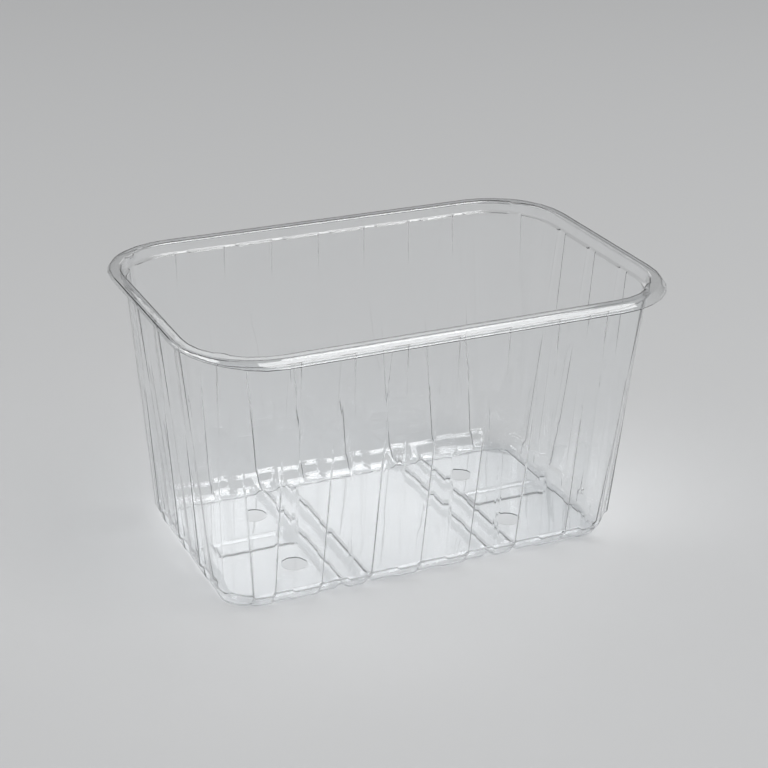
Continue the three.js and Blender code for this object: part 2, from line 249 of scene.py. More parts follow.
@dataclass(frozen=True)
class SheetSizes:
    """The punnet's sizes, in millimetres and degrees, as in the frame that it stands for.

    The frame's folds are sharp. lip_*, bend_*, heel_root, heel_drop and floor_border place the rounded ones.
    """

    length: float = 191.0
    width: float = 128.0
    height: float = 104.0
    corner_radius: float = 31.9
    sheet: float = 0.4
    skirt_out: float = 2.1
    skirt_drop: float = 2.8
    lip_in: float = 0.3
    lip_drop: float = 2.65
    bend_in: float = 0.55
    bend_drop: float = 1.95
    flange: float = 4.1
    neck_depth: float = 4.0
    neck_lean: float = 0.3
    ledge: float = 1.5
    ledge_fall: float = 0.5
    lug_reach: float = 1.3
    lug_past: float = 1.0
    lug_flank: float = 3.0
    end_draft: float = 4.65
    side_draft: float = 5.2
    side_pitch: float = 19.6
    end_pitch: float = 22.9
    flute_top: float = 6.0
    flute_base: float = 12.3
    flute_flank: float = 1.0
    flute_gap: float = 0.5
    flute_out: float = 0.8
    end_flute_in: float = 1.2
    side_flute_in: float = 1.8
    heel: float = 6.2
    heel_ledge: float = 1.4
    heel_fall: float = 0.25
    heel_root: float = 0.3
    heel_drop: float = 0.2
    end_lean: float = 0.6
    side_lean: float = 2.0
    foot_rise: float = 1.4
    end_foot: float = 0.9
    side_foot: float = 3.1
    end_band_flute: float = 0.5
    side_band_flute: float = 1.5
    ring: float = 2.9
    floor_rise: float = 1.2
    floor_step: float = 0.8
    floor_border: float = 1.0
    centre_pad: float = 44.2
    foot_strip: float = 4.9
    channel_top: float = 1.6
    channel_run: float = 1.9
    channel_rise: float = 1.2
    ring_notch: float = 1.3
    recess_width: float = 10.0
    recess_depth: float = 0.8
    recess_run: float = 0.8
    recess_from_channel: float = 1.2
    recess_from_edge: float = 4.3
    drain: float = 10.0
    drain_from_channel: float = 6.9
    drain_from_middle: float = 20.5

    @property
    def edge_radius(self) -> float:
        """The corner radius of the flange's inner edge."""
        return self.corner_radius - self.skirt_out - self.flange

    @property
    def corner_x(self) -> float:
        """How far the corners' centres lie from the middle, along the punnet."""
        return self.length / 2 - self.corner_radius

    @property
    def corner_y(self) -> float:
        """How far the corners' centres lie from the middle, across the punnet."""
        return self.width / 2 - self.corner_radius

    @property
    def wall_top(self) -> float:
        """Height at which the walls start, under their ledge."""
        return self.height - self.neck_depth - self.ledge_fall

    @property
    def channel_width(self) -> float:
        """Width of one channel of the floor over both of its slopes."""
        return self.channel_top + 2 * self.channel_run

    @property
    def channel_starts(self) -> tuple[float, float]:
        """Where the two channels of a pair start, from the middle of the floor."""
        first = self.centre_pad / 2
        return first, first + self.channel_width + self.foot_strip

    @property
    def slope_starts(self) -> list[float]:
        """Where the slopes of the channels start, from the middle of the floor."""
        starts = [(start, start + self.channel_width - self.channel_run) for start in self.channel_starts]
        return [slope for pair in starts for slope in pair]

    @property
    def channel_end(self) -> float:
        """Where the outer channel ends."""
        return self.channel_starts[1] + self.channel_width

    def wall_inset(self, draft: float, z: float) -> float:
        """Returns how far inside the flange's edge a wall of a draft in degrees stands at a height."""
        return self.neck_lean + self.ledge + (self.wall_top - z) * math.tan(math.radians(draft))

    def folds(self) -> dict[Fold, FoldPoint]:
        """Places the section's folds.

        Returns:
            The folds, from the trimmed edge inwards.
        """
        end = self.wall_inset(self.end_draft, self.heel)
        side = self.wall_inset(self.side_draft, self.heel)
        end_band = end + self.heel_ledge + self.end_lean
        side_band = side + self.heel_ledge + self.side_lean
        end_ring = end_band + self.end_foot
        side_ring = side_band + self.side_foot
        end_step = end_ring + self.ring
        side_step = side_ring + self.ring
        end_floor = end_step + self.floor_step
        side_floor = side_step + self.floor_step
        top = self.height
        neck = top - self.neck_depth
        trim = -self.flange - self.skirt_out
        floor = self.sheet + self.floor_rise
        base = {"spread": 1.0}
        notch = {"spread": 1.0, "channel": self.ring_notch}
        raised = {"spread": 1.0, "channel": self.channel_rise}
        wall = {"flute_end": self.end_flute_in, "flute_side": self.side_flute_in, **base}
        band = {"flute_end": self.end_band_flute, "flute_side": self.side_band_flute, **notch}
        out = -self.flute_out
        lip, bend = trim + self.lip_in, trim + self.bend_in
        foot = self.neck_lean + self.ledge
        start_x, start_y = end_floor + self.floor_border, side_floor + self.floor_border
        return {
            Fold.TRIM: FoldPoint(trim, trim, top - self.skirt_drop),
            Fold.SKIRT_LIP: FoldPoint(lip, lip, top - self.lip_drop, cut=0.25, steps=3),
            Fold.SKIRT_BEND: FoldPoint(bend, bend, top - self.bend_drop, cut=0.45, rows=3),
            Fold.RIM_FOLD: FoldPoint(-self.flange, -self.flange, top, cut=0.95, steps=8, rows=2),
            Fold.INNER_EDGE: FoldPoint(0, 0, top, cut=0.95, steps=8, rows=2),
            Fold.NECK_FOOT: FoldPoint(self.neck_lean, self.neck_lean, neck, cut=0.2, steps=3),
            Fold.WALL_TOP: FoldPoint(
                foot, foot, self.wall_top, out, out, cut=0.4, steps=4, rows=13,
            ),
            Fold.WALL_FOOT: FoldPoint(end, side, self.heel + self.heel_root, cut=0.7, steps=6, **wall),
            Fold.HEEL_EDGE: FoldPoint(
                end + self.heel_ledge, side + self.heel_ledge, self.heel - self.heel_fall - self.heel_drop,
                cut=0.7, steps=6, rows=2, **wall,
            ),
            Fold.BAND_FOOT: FoldPoint(
                end_band, side_band, self.sheet + self.foot_rise, cut=1.1, steps=6, **band,
            ),
            Fold.RING_OUTER: FoldPoint(end_ring, side_ring, self.sheet, cut=0.9, rows=2, **notch),
            Fold.RING_INNER: FoldPoint(end_step, side_step, self.sheet, cut=0.6, **notch),
            Fold.FLOOR_EDGE: FoldPoint(end_floor, side_floor, floor, cut=0.6, **raised),
            Fold.FLOOR_START: FoldPoint(start_x, start_y, floor, **raised),
        }


@dataclass
class Section:
    """The upper skin of the sheet in section, with its folds rounded.

    Attributes:
        sizes: The punnet's sizes.
        rows: The numbers of a fold for each row of points, from the trimmed edge inwards.
    """

    sizes: SheetSizes
    rows: np.ndarray = field(init=False)

    def __post_init__(self) -> None:
        """Rounds the folds and fills the plain stretches between them."""
        folds = list(self.sizes.folds().values())
        points = [fold.numbers() for fold in folds]
        rows = [points[0]]
        for i in range(1, len(folds) - 1):
            start = self.toward(points[i], points[i - 1], folds[i].cut)
            stop = self.toward(points[i], points[i + 1], folds[i].cut)
            rows += self.plain(rows[-1], start, folds[i - 1].rows)
            rows += self.rounded(start, points[i], stop, folds[i].steps)
        rows += self.plain(rows[-1], points[-1], folds[-2].rows)
        self.rows = np.array(rows)

    @staticmethod
    def toward(here: np.ndarray, other: np.ndarray, cut: float) -> np.ndarray:
        """Returns the place a distance from one fold towards another, at most half of the way."""
        length = float(np.hypot(other[1] - here[1], other[2] - here[2]))
        return here + (other - here) * min(cut / length, 0.5)

    @staticmethod
    def plain(start: np.ndarray, stop: np.ndarray, steps: int) -> list[np.ndarray]:
        """Returns the rows of a plain stretch after its start."""
        return [start + (stop - start) * step / steps for step in range(1, steps + 1)]

    @staticmethod
    def rounded(start: np.ndarray, fold: np.ndarray, stop: np.ndarray, steps: int) -> list[np.ndarray]:
        """Returns the rows of a rounded fold after its start."""
        shares = [step / steps for step in range(1, steps + 1)]
        return [(1 - t) ** 2 * start + 2 * t * (1 - t) * fold + t * t * stop for t in shares]


class Wall(Enum):
    """The straight walls, anticlockwise from above, each with the direction that it faces."""

    FRONT = (0, -1)
    RIGHT = (1, 0)
    BACK = (0, 1)
    LEFT = (-1, 0)

    @property
    def out(self) -> np.ndarray:
        """The direction that the wall faces."""
        return np.array(self.value, float)

    @property
    def ahead(self) -> np.ndarray:
        """The direction along the wall, anticlockwise from above."""
        return np.array([-self.value[1], self.value[0]], float)


@dataclass(frozen=True)
class Station:
    """A place on the outline, at the top of the walls and at their base.

    Attributes:
        centre: The point in plan that the outline is measured from, at the top and at the base.
        out: The direction outwards, at the top and at the base.
        from_flute: How far the nearest flute's middle is, at the top and at the base.
        half: Half the width of that flute, at the top and at the base.
        lug: How much of a corner's lug the place has, from 0 to 1.
    """

    centre: tuple[np.ndarray, np.ndarray]
    out: tuple[np.ndarray, np.ndarray]
    from_flute: tuple[float, float]
    half: tuple[float, float]
    lug: float = 0.0


@dataclass
class Outline:
    """The stations round the punnet. They follow the edges of the flutes, which widen downwards.

    Attributes:
        sizes: The punnet's sizes.
        flank_steps: Stations across the flank of a flute.
        coarse: The widest spacing of stations elsewhere.
        closest: The spacing under which two places count as one.
    """

    sizes: SheetSizes
    flank_steps: int = 4
    coarse: float = 2.8
    closest: float = 0.05

    def stations(self) -> list[Station]:
        """Returns the stations round the punnet, anticlockwise from the front wall's left end."""
        return [station for wall in Wall for station in self.straight(wall) + self.corner(wall)]

    def filled(self, places: list[float]) -> np.ndarray:
        """Returns sorted places with more of them where they are far apart.

        Args:
            places: The places that have to be there.

        Returns:
            The places.
        """
        marks = np.unique(np.round(places, PLACE_DECIMALS))
        kept = marks[np.concatenate([[True], np.diff(marks) > self.closest])]
        parts = []
        for start, stop in zip(kept[:-1], kept[1:]):
            steps = max(1, math.ceil((stop - start) / self.coarse))
            parts.append(np.linspace(start, stop, steps, endpoint=False))
        return np.concatenate(parts + [kept[-1:]])

    def flank_places(self, centre: float, half: float) -> list[float]:
        """Returns the sorted places across both flanks of a flute and at its middle."""
        insets = np.linspace(0, self.sizes.flute_flank, self.flank_steps + 1)
        return sorted([centre] + [centre + side * (half - inset) for side in (-1, 1) for inset in insets])

    def straight(self, wall: Wall) -> list[Station]:
        """Returns the stations of a straight wall, both ends included.

        Args:
            wall: The wall.

        Returns:
            Its stations.
        """
        sizes = self.sizes
        long = wall in (Wall.FRONT, Wall.BACK)
        reach = sizes.corner_x if long else sizes.corner_y
        pitch = sizes.side_pitch if long else sizes.end_pitch
        spine = wall.out * (sizes.corner_y if long else sizes.corner_x)
        pairs = math.floor((reach - sizes.flute_top / 2 - sizes.flute_gap) / pitch)
        centres = [i * pitch for i in range(-pairs, pairs + 1)]
        at_top, at_base, halves = [-reach], [-reach], {}
        for centre in centres:
            room = reach - sizes.flute_gap - abs(centre)
            top, base = min(sizes.flute_top / 2, room), min(sizes.flute_base / 2, room)
            halves[centre] = (top, base)
            at_top += self.flank_places(centre, top)
            at_base += self.flank_places(centre, base)
        at_top.append(reach)
        at_base.append(reach)
        places = at_base + (self.channel_places() if long else [])
        stations = []
        for base in self.filled(places):
            top = float(np.interp(base, at_base, at_top))
            nearest = min(centres, key=lambda centre: abs(base - centre))
            stations.append(Station(
                (spine + wall.ahead * top, spine + wall.ahead * base),
                (wall.out, wall.out),
                (abs(top - nearest), abs(base - nearest)),
                halves[nearest],
            ))
        return stations

    def channel_places(self) -> list[float]:
        """Finds where a long wall needs stations for the channels' slopes.

        Returns:
            The places along the wall.
        """
        steps = np.linspace(0, 1, self.flank_steps + 1) * self.sizes.channel_run
        places = [float(slope + step) for slope in self.sizes.slope_starts for step in steps]
        return places + [-place for place in places]

    def corner(self, wall: Wall) -> list[Station]:
        """Returns the stations of the corner after a wall, without the walls' own ends.

        Args:
            wall: The wall before the corner.

        Returns:
            The corner's stations.
        """
        sizes = self.sizes
        start = math.atan2(wall.value[1], wall.value[0])
        away = wall.out + wall.ahead
        centre = np.array([away[0] * sizes.corner_x, away[1] * sizes.corner_y])
        insets = [sizes.wall_inset(draft, sizes.heel) for draft in (sizes.end_draft, sizes.side_draft)]
        inset = sum(insets) / 2
        radii = (sizes.edge_radius - sizes.neck_lean - sizes.ledge, sizes.edge_radius - inset)
        halves = (sizes.flute_top / 2, sizes.flute_base / 2)
        middle = math.pi / 4
        at = []
        for radius, half in zip(radii, halves):
            flute = [middle + place / radius for place in self.flank_places(0, half)]
            at.append([0.0, *flute, 2 * middle])
        arcs = self.filled([angle * radii[1] for angle in at[1]])
        stations = []
        for base in arcs[1:-1] / radii[1]:
            top = float(np.interp(base, at[1], at[0]))
            outs = tuple(
                np.array([math.cos(start + angle), math.sin(start + angle)]) for angle in (top, base)
            )
            distances = tuple(abs(angle - middle) * radius for angle, radius in zip((top, base), radii))
            lug = float(eased((halves[0] + sizes.lug_past - distances[0]) / sizes.lug_flank))
            stations.append(Station((centre, centre), outs, distances, halves, lug))
        return stations


def eased(share: Measure) -> Measure:
    """Returns a share from 0 to 1 with soft ends."""
    share = np.clip(share, 0, 1)
    return share * share * (3 - 2 * share)


@dataclass(frozen=True)
class Waves:
    """Slight waves that drawing and cooling leave in the sheet.

    Attributes:
        height: Their height over all, in millimetres.
        across: Their length across their crests.
        along: Their length along their crests.
        turn: The direction of the crests on the floor, in degrees from +X; upright where it is None.
    """

    height: float
    across: float
    along: float
    turn: float | None = None

    def grain(self) -> list[tuple[float, float, float]]:
        """Finds the three directions in which the waves are measured.

        Returns:
            The directions, each as long as its rate.
        """
        across, along = 1 / (self.across * MM), 1 / (self.along * MM)
        if self.turn is None:
            return [(across, 0, 0), (0, across, 0), (0, 0, along)]
        turn = math.radians(self.turn)
        crest = (math.cos(turn) * along, math.sin(turn) * along, 0)
        return [(-math.sin(turn) * across, math.cos(turn) * across, 0), crest, (0, 0, along)]


@dataclass(frozen=True)
class WaveReach:
    """How far the waves reach, in millimetres: not to the rim, the folds and the floor's edge.

    Attributes:
        under_top: How far under the top of the walls they end.
        top_fade: The height over which they fade there.
        over_heel: How far over the heel they end.
        heel_fade: The height over which they fade there.
        floor_x: How far from the middle they end on the floor, along the punnet.
        floor_y: The same across it.
        floor_fade: The length over which they fade there.
        floor_top: The height under which the skin counts as the floor.
    """

    under_top: float = 2.0
    top_fade: float = 14.0
    over_heel: float = 1.0
    heel_fade: float = 6.0
    floor_x: float = 70.0
    floor_y: float = 35.0
    floor_fade: float = 4.0
    floor_top: float = 4.0


@dataclass
class Rings:
    """The section at every station, as arrays of rows by stations.

    Attributes:
        points: The points of the skin before its flutes are pressed.
        inward: The direction in which each point is pressed.
        press: How far a flute presses it.
        from_flute: How far the nearest flute's middle is.
        half: Half the width of that flute.
    """

    points: np.ndarray
    inward: np.ndarray
    press: np.ndarray
    from_flute: np.ndarray
    half: np.ndarray

    def faces(self) -> list[tuple[int, ...]]:
        """Joins the rows.

        Returns:
            The faces between them, round the whole punnet.
        """
        depth, count = self.press.shape
        corners = [(i * count, j, (j + 1) % count) for i in range(depth - 1) for j in range(count)]
        return [(row + j, row + k, row + count + k, row + count + j) for row, j, k in corners]


@dataclass
class PunnetSheet:
    """The whole punnet as one closed sheet.

    Attributes:
        material: The clear plastic.
        sizes: The punnet's sizes.
        drain_steps: Corners of the outline of a drain hole.
        drain_clear: How far from a drain hole the floor's grid stays.
        drain_open: The share of a drain hole's radius inside which no face is kept.
        edge_clear: How far from the floor's edge its grid stays.
        floor_spacing: The widest spacing of the floor's grid.
        slope_steps: Steps of the grid across a slope of the floor.
        thinning: How much thinner the sheet is in the flanks of the flutes, as a share.
        trim_loss: How much of the skirt the trimming took at the left end, as a share.
        trim_start: How far an edge has to face left before it lost any, from 0 to 1.
        rim_margin: How far under the top a row still counts as one of the flange.
        wall_waves: The streaks that drawing leaves in the walls.
        floor_waves: The waves of the floor.
        reach: How far both reach.
        sharp_angle: The angle in degrees from which an edge isn't shaded smooth.
        name: The name of the piece.
        gauges: The thickness at each point of the skin, as a share of the sheet's.
    """

    material: bpy.types.Material
    sizes: SheetSizes = SheetSizes()
    drain_steps: int = 56
    drain_clear: float = 0.7
    drain_open: float = 0.98
    edge_clear: float = 0.55
    floor_spacing: float = 1.8
    slope_steps: int = 4
    thinning: float = 0.06
    trim_loss: float = 0.6
    trim_start: float = 0.1
    rim_margin: float = 0.2
    wall_waves: Waves = Waves(height=0.09, across=11.0, along=80.0)
    floor_waves: Waves = Waves(height=0.1, across=9.0, along=45.0, turn=69.0)
    reach: WaveReach = WaveReach()
    sharp_angle: float = 50.0
    name: str = "punnet_sheet"
    gauges: np.ndarray = field(init=False)

    def build(self) -> bpy.types.Object:
        """Makes the finished piece.

        Returns:
            The piece, with its place in its mesh.
        """
        skin = self.skin()
        piece = added(self.name, skin)
        gauge = piece.vertex_groups.new(name="gauge")
        for weight in np.unique(self.gauges):
            gauge.add(np.flatnonzero(self.gauges == weight).tolist(), float(weight), "REPLACE")
        self.flutes().put_on(piece)
        self.waves("wall", self.wall_waves).put_on(piece)
        self.waves("floor", self.floor_waves).put_on(piece)
        wall = piece.modifiers.new("sheet", "SOLIDIFY")
        wall.thickness = self.sizes.sheet * MM
        wall.vertex_group = gauge.name
        wall.offset = -1
        wall.use_even_offset = True
        graph = bpy.context.evaluated_depsgraph_get()
        mesh = bpy.data.meshes.new_from_object(piece.evaluated_get(graph))
        piece.modifiers.clear()
        piece.data = mesh
        mesh.shade_smooth()
        mesh.set_sharp_from_angle(angle=math.radians(self.sharp_angle))
        return piece

    def skin(self) -> bpy.types.Mesh:
        """Makes the upper skin, with the numbers that the forming trees read.

        Returns:
            The skin.
        """
        rings = self.rings(Outline(self.sizes).stations(), Section(self.sizes).rows)
        floor_points, floor_faces = self.floor(rings.points[-1])
        ring = rings.points.reshape(-1, 3)
        base = len(ring) - rings.press.shape[1]
        faces = rings.faces() + [tuple(base + corner for corner in face) for face in floor_faces]
        vertices = np.vstack([ring, floor_points])
        mesh = bpy.data.meshes.new(self.name)
        mesh.from_pydata((vertices * MM).tolist(), [], faces)
        spare = np.zeros(len(floor_points))
        flutes = {name: getattr(rings, name).ravel() * MM for name in ("press", "from_flute", "half")}
        numbers = {name: np.concatenate([values, spare]) for name, values in flutes.items()}
        for name, values in {**numbers, **self.play(vertices)}.items():
            mesh.attributes.new(name, "FLOAT", "POINT").data.foreach_set("value", values)
        inward = np.concatenate([rings.inward.ravel(), np.repeat(spare, 3)])
        mesh.attributes.new("inward", "FLOAT_VECTOR", "POINT").data.foreach_set("vector", inward)
        flank = (rings.half - rings.from_flute) / self.sizes.flute_flank
        thin = np.clip(1 - np.abs(2 * flank - 1), 0, 1) * np.clip(np.abs(rings.press), 0, 1)
        self.gauges = np.round(np.concatenate([1 - self.thinning * thin.ravel(), 1 + spare]), 2)
        return mesh

    def rings(self, stations: list[Station], rows: np.ndarray) -> Rings:
        """Puts the section at every station.

        Args:
            stations: The stations round the punnet.
            rows: The rows of the section.

        Returns:
            The rings.
        """
        sizes = self.sizes
        numbers = (len(rows), len(stations))
        vectors = (*numbers, 3)
        rings = Rings(*(np.zeros(shape) for shape in (vectors, vectors, numbers, numbers, numbers)))
        for j, station in enumerate(stations):
            for i, (end, side, z, flute_end, flute_side, spread, _) in enumerate(rows):
                centre = self.mixed(station.centre, spread)
                out = self.mixed(station.out, spread)
                out = out / np.hypot(*out)
                lug = station.lug * sizes.lug_reach * self.lug_share(end, z)
                cut = self.trim_share(out, end)
                end, side = (inset * cut - sizes.flange * (1 - cut) for inset in (end, side))
                z = z * cut + sizes.height * (1 - cut)
                reach = sizes.edge_radius - np.array([end + lug, side + lug])
                rings.points[i, j, :2] = centre + out * reach
                rings.points[i, j, 2] = z
                rings.inward[i, j, :2] = -out
                blend = out[0] ** 2
                rings.press[i, j] = flute_end * blend + flute_side * (1 - blend)
                rings.from_flute[i, j] = self.mixed(station.from_flute, spread)
                rings.half[i, j] = self.mixed(station.half, spread)
            along_side = abs(station.out[1][1]) == 1
            if along_side:
                rings.points[:, j, 2] += rows[:, -1] * self.channels(rings.points[:, j, 0])
        return rings

    @staticmethod
    def mixed(pair: tuple[Measure, Measure], spread: float) -> Measure:
        """Returns a measure between its values at the top and at the base."""
        return pair[0] * (1 - spread) + pair[1] * spread

    def trim_share(self, out: np.ndarray, inset: float) -> float:
        """Says how much of the skirt the trimming left: less at the left end, all elsewhere.

        Args:
            out: The direction outwards.
            inset: The row's inset from the flange's inner edge.

        Returns:
            A share from 0 to 1.
        """
        if inset >= -self.sizes.flange:
            return 1.0
        return 1 - self.trim_loss * float(eased(-out[0] - self.trim_start))

    def lug_share(self, inset: float, z: float) -> float:
        """Says how much of a corner's lug a row of the section has.

        Args:
            inset: The row's inset from the flange's inner edge.
            z: Its height.

        Returns:
            A share from 0 to 1.
        """
        sizes = self.sizes
        if inset <= -sizes.flange or z <= sizes.wall_top:
            return 0.0
        if z > sizes.height - self.rim_margin:
            return float(eased((inset + sizes.flange) / sizes.flange))
        return float(eased((z - sizes.height + sizes.neck_depth) / sizes.neck_depth))

    def play(self, vertices: np.ndarray) -> dict[str, np.ndarray]:
        """Says how freely the walls and the floor wave at each point.

        Args:
            vertices: The points of the skin.

        Returns:
            Shares from 0 to 1 by the name of their attribute.
        """
        sizes, reach = self.sizes, self.reach
        x, y, z = np.abs(vertices[:, 0]), np.abs(vertices[:, 1]), vertices[:, 2]
        under = (sizes.wall_top - reach.under_top - z) / reach.top_fade
        over = (z - sizes.heel - reach.over_heel) / reach.heel_fade
        inner = np.minimum(reach.floor_x - x, reach.floor_y - y) / reach.floor_fade
        floor = np.where(z < reach.floor_top, eased(inner), 0)
        return {"wall_play": eased(under) * eased(over), "floor_play": floor}

    def floor(self, edge: np.ndarray) -> tuple[np.ndarray, list[tuple[int, ...]]]:
        """Fills the floor inside its edge.

        Args:
            edge: The points of the last row of the section.

        Returns:
            The new points, and the faces, numbered from the edge's first point on.
        """
        sizes = self.sizes
        floor_x, floor_y = np.abs(edge[:, 0]).max(), np.abs(edge[:, 1]).max()
        drain_x = sizes.channel_end + sizes.drain_from_channel
        holes = [np.array([sx * drain_x, sy * sizes.drain_from_middle]) for sx in (-1, 1) for sy in (-1, 1)]
        turns = np.linspace(0, 2 * math.pi, self.drain_steps, endpoint=False)
        circle = np.column_stack([np.cos(turns), np.sin(turns)]) * sizes.drain / 2
        loops = [edge[:, :2]] + [hole + circle for hole in holes]
        bounds, start = [], 0
        for loop in loops:
            bounds += [(start + i, start + (i + 1) % len(loop)) for i in range(len(loop))]
            start += len(loop)
        xs, ys = self.grid_lines(floor_x, floor_y)
        grid = np.array([(x, y) for x in xs for y in ys])
        grid = grid[self.inside(grid, floor_x, floor_y)]
        nearest = sizes.drain / 2 + self.drain_clear
        far = np.all([np.hypot(*(grid - hole).T) > nearest for hole in holes], axis=0)
        plan = np.vstack(loops + [grid[far]])
        found = delaunay_2d_cdt([Vector(point) for point in plan], bounds, [], 1, SAME_POINT)
        where = np.array([tuple(point) for point in found[0]])
        number = {}
        new_points = []
        for i, origins in enumerate(found[3]):
            origin = origins[0] if origins else -1
            if 0 <= origin < len(edge):
                number[i] = origin
            else:
                number[i] = len(edge) + len(new_points)
                new_points.append(where[i])
        faces = []
        for face in found[2]:
            middle = where[list(face)].mean(axis=0)
            if min(np.hypot(*(middle - hole)) for hole in holes) > sizes.drain / 2 * self.drain_open:
                faces.append(tuple(number[i] for i in face))
        flat = np.array(new_points)
        z = sizes.sheet + sizes.floor_rise + sizes.channel_rise * self.channels(flat[:, 0])
        z -= sizes.recess_depth * self.recesses(flat[:, 0], flat[:, 1], floor_x + sizes.floor_border)
        return np.column_stack([flat, z]), faces

    def channels(self, x: np.ndarray) -> np.ndarray:
        """Says how much of a channel's rise each place along the punnet has.

        Args:
            x: Places along the punnet.

        Returns:
            Shares from 0 to 1.
        """
        sizes = self.sizes
        share = np.zeros_like(np.asarray(x, float))
        for start in sizes.channel_starts:
            up = eased((np.abs(x) - start) / sizes.channel_run)
            down = eased((start + sizes.channel_width - np.abs(x)) / sizes.channel_run)
            share = np.maximum(share, np.minimum(up, down))
        return share

    def recesses(self, x: np.ndarray, y: np.ndarray, floor_x: float) -> np.ndarray:
        """Says how much of a recess's depth each place on the floor has.

        Args:
            x: Places along the punnet.
            y: Places across it.
            floor_x: Where the floor ends along the punnet.

        Returns:
            Shares from 0 to 1.
        """
        sizes = self.sizes
        start = sizes.channel_end + sizes.recess_from_channel
        stop = floor_x - sizes.recess_from_edge
        along = np.minimum(np.abs(x) - start, stop - np.abs(x)) / sizes.recess_run
        across = (sizes.recess_width / 2 - np.abs(y)) / sizes.recess_run
        return eased(np.minimum(along, across))

    def inside(self, grid: np.ndarray, floor_x: float, floor_y: float) -> np.ndarray:
        """Finds the points of the floor's grid that lie clear of its rounded edge.

        Args:
            grid: The points of the grid.
            floor_x: Where the floor ends along the punnet.
            floor_y: Where it ends across the punnet.

        Returns:
            True for each point that lies clear.
        """
        sizes, clear = self.sizes, self.edge_clear
        x, y = np.abs(grid).T
        radius_x, radius_y = floor_x - sizes.corner_x, floor_y - sizes.corner_y
        away_x = np.maximum(x - sizes.corner_x, 0) / radius_x
        away_y = np.maximum(y - sizes.corner_y, 0) / radius_y
        straight = (x < floor_x - clear) & (y < floor_y - clear)
        return straight & (np.hypot(away_x, away_y) < 1 - clear / min(radius_x, radius_y))

    def grid_lines(self, floor_x: float, floor_y: float) -> list[np.ndarray]:
        """Finds the lines of the floor's grid.

        Args:
            floor_x: Where the floor ends along the punnet.
            floor_y: Where it ends across the punnet.

        Returns:
            Their places along the punnet and across it.
        """
        sizes = self.sizes
        shares = np.linspace(0, 1, self.slope_steps + 1)
        along = [0.0, floor_x]
        for slope in sizes.slope_starts:
            along += list(slope + shares * sizes.channel_run)
        recess = sizes.channel_end + sizes.recess_from_channel
        stop = floor_x + sizes.floor_border - sizes.recess_from_edge
        along += list(recess + shares * sizes.recess_run) + list(stop - shares * sizes.recess_run)
        across = [0.0, floor_y] + list(sizes.recess_width / 2 - shares * sizes.recess_run)
        spaced = Outline(sizes, coarse=self.floor_spacing)
        halves = [spaced.filled(marks) for marks in (along, across)]
        return [np.unique(np.concatenate([-half, half])) for half in halves]

    def flutes(self) -> FormingTree:
        """Makes the tree that presses the flutes into the walls.

        Returns:
            The tree.
        """
        tree = FormingTree("flutes", {"Flank": self.sizes.flute_flank * MM, "Depth": 1.0})
        inside = tree.attribute("half") - tree.attribute("from_flute")
        settings = {"interpolation_type": "SMOOTHSTEP", "data_type": "FLOAT"}
        share = tree.node("ShaderNodeMapRange", {"Value": inside / tree.entry["Flank"]}, settings)
        length = tree.attribute("press") * share * tree.entry["Depth"]
        tree.finish(tree.scaled(tree.attribute("inward", "FLOAT_VECTOR"), length), self.material)
        return tree

    def waves(self, part: str, waves: Waves) -> FormingTree:
        """Makes a tree that gives a part of the drawn sheet its slight waves.

        Args:
            part: The part that waves.
            waves: The waves.

        Returns:
            The tree.
        """
        tree = FormingTree(f"{part}_waves", {"Height": waves.height * MM, "Seed": WAVE_SEED})
        place = tree.node("GeometryNodeInputPosition")
        rates = {i: tree.along(place, direction) for i, direction in enumerate(waves.grain())}
        grain = tree.node("ShaderNodeCombineXYZ", rates)
        inputs = {"Vector": grain, "W": tree.entry["Seed"], "Scale": 1.0, "Detail": 1.0}
        noise = tree.node("ShaderNodeTexNoise", inputs, {"noise_dimensions": "4D"})
        length = (noise - 0.5) * tree.entry["Height"] * 2 * tree.attribute(f"{part}_play")
        tree.finish(tree.scaled(tree.node("GeometryNodeInputNormal"), length), self.material)
        return tree


# Finishes


